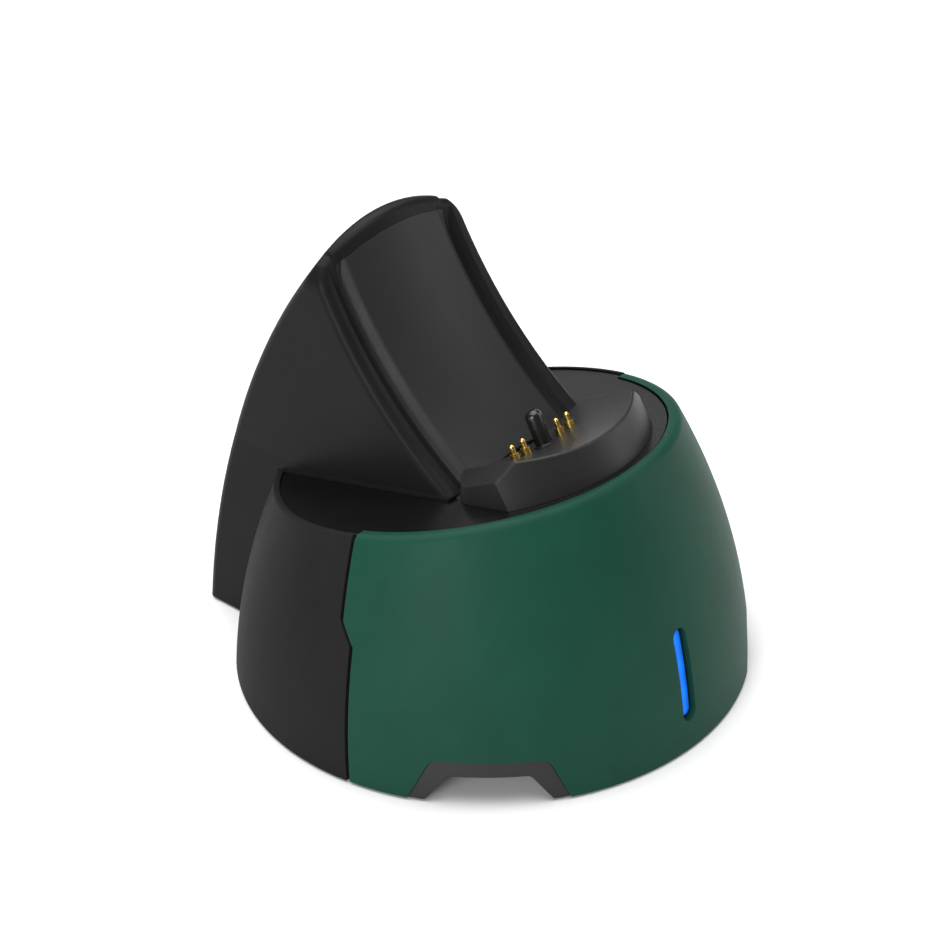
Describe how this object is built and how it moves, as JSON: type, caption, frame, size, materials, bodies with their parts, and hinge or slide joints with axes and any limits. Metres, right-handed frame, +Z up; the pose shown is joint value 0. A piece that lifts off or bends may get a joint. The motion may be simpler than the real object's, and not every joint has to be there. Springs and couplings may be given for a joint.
{
  "type": "controller charging dock",
  "caption": "Charging dock for one hand-held controller: domed base, tall tilted backrest, spring contacts, locating peg and status light.",
  "frame": {"origin": "on the table under the middle of the whole footprint, level with the bottoms of the rubber feet", "axes": "+Z up, -Y the front with the status light, +X the right seen from the front"},
  "size_m": [0.096, 0.102, 0.0828],
  "materials": {
    "green_shell": "satin",
    "black_shell": "satin",
    "backrest": "satin",
    "panel": "fine matt grain",
    "deck": "gloss",
    "ledge": "satin",
    "peg": "gloss",
    "gold": "gold plated",
    "spring_steel": "drawn wire",
    "feet": "matt",
    "plate": "satin",
    "board": "solder mask over glass laminate",
    "chip": "matt",
    "ceramic": "satin",
    "socket_plastic": "satin",
    "inlet_steel": "nickel plated",
    "ribbon": "satin",
    "lamp": "satin",
    "light_guide": "frosted, lit blue from behind",
    "screw": "black zinc"
  },
  "bodies": {
    "dock": {"front_shell": "green_shell", "rear_shell": "black_shell", "notch_trim_left": "black_shell", "notch_trim_right": "black_shell", "deck_plate": "deck", "base_plate": "plate", "rubber_feet": "feet", "backrest_shell": "backrest", "backrest_front_panel": "panel", "contact_ledge": "ledge", "locating_peg": "peg", "pin_barrels": "gold", "pin_spring_left_outer": "spring_steel", "pin_spring_left_inner": "spring_steel", "pin_spring_right_inner": "spring_steel", "pin_spring_right_outer": "spring_steel", "contact_board": "board", "contact_ribbon": "ribbon", "main_board": "board", "usb_inlet": "inlet_steel", "board_chips": "chip", "power_inductor": "chip", "board_capacitors": "ceramic", "ribbon_sockets": "socket_plastic", "status_board": "board", "status_leds": "lamp", "status_ribbon": "ribbon", "slot_bezel": "black_shell", "light_guide": "light_guide", "base_screws": "screw", "board_screws": "screw", "backrest_screws": "screw", "ledge_screws": "screw", "contact_board_screws": "screw"},
    "pin_left_outer": {"contact_pin_left_outer": "gold"},
    "pin_left_inner": {"contact_pin_left_inner": "gold"},
    "pin_right_inner": {"contact_pin_right_inner": "gold"},
    "pin_right_outer": {"contact_pin_right_outer": "gold"}
  },
  "joints": [
    {"name": "pin_slide_left_outer", "type": "slide", "parent": "dock", "child": "pin_left_outer", "axis": [0, 0.4848, 0.8746], "range_m": [-0.001, 0], "stiffness_N_per_m": 500, "springref_m": 0.0005, "deforming": ["pin_spring_left_outer"]},
    {"name": "pin_slide_left_inner", "type": "slide", "parent": "dock", "child": "pin_left_inner", "axis": [0, 0.4848, 0.8746], "range_m": [-0.001, 0], "stiffness_N_per_m": 500, "springref_m": 0.0005, "deforming": ["pin_spring_left_inner"]},
    {"name": "pin_slide_right_inner", "type": "slide", "parent": "dock", "child": "pin_right_inner", "axis": [0, 0.4848, 0.8746], "range_m": [-0.001, 0], "stiffness_N_per_m": 500, "springref_m": 0.0005, "deforming": ["pin_spring_right_inner"]},
    {"name": "pin_slide_right_outer", "type": "slide", "parent": "dock", "child": "pin_right_outer", "axis": [0, 0.4848, 0.8746], "range_m": [-0.001, 0], "stiffness_N_per_m": 500, "springref_m": 0.0005, "deforming": ["pin_spring_right_outer"]}
  ]
}
